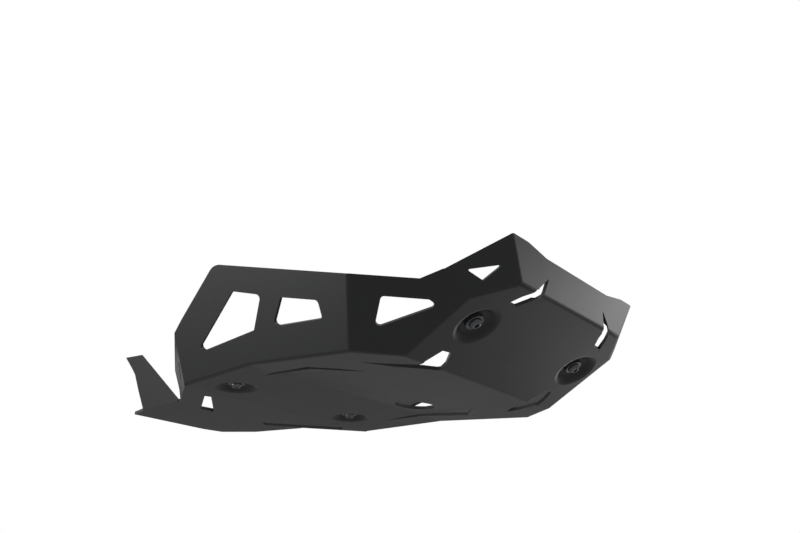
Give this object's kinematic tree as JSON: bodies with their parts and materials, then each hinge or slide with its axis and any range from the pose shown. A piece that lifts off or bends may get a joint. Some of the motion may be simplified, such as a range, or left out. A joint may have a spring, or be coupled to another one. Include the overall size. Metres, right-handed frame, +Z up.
{
  "type": "motorcycle engine guard",
  "caption": "Folded sheet-metal skid plate that hangs under a motorcycle engine, with windowed side walls, pressed screw dimples and an upright front lip.",
  "frame": {"origin": "underside of the flat middle panel, on the fold between it and the front panel, midway between the left and right screws", "axes": "+X forward, towards the lip at the front of the guard; +Y to the left of the vehicle; +Z up, away from the ground"},
  "size_m": [0.6501, 0.5073, 0.1122],
  "materials": {
    "black_powder_coat": "satin powder coat",
    "black_steel": "black oxide on steel",
    "rubber": "matte",
    "zinc_steel": "zinc plated"
  },
  "bodies": {
    "root": {"guard_plate": "black_powder_coat", "front_left_screw": "black_steel", "front_right_screw": "black_steel", "rear_left_screw": "black_steel", "rear_right_screw": "black_steel", "front_left_washer": "black_steel", "front_right_washer": "black_steel", "rear_left_washer": "black_steel", "rear_right_washer": "black_steel", "front_left_grommet": "rubber", "front_right_grommet": "rubber", "rear_left_grommet": "rubber", "rear_right_grommet": "rubber", "front_left_spacer": "zinc_steel", "front_right_spacer": "zinc_steel", "rear_left_spacer": "zinc_steel", "rear_right_spacer": "zinc_steel"}
  },
  "joints": []
}
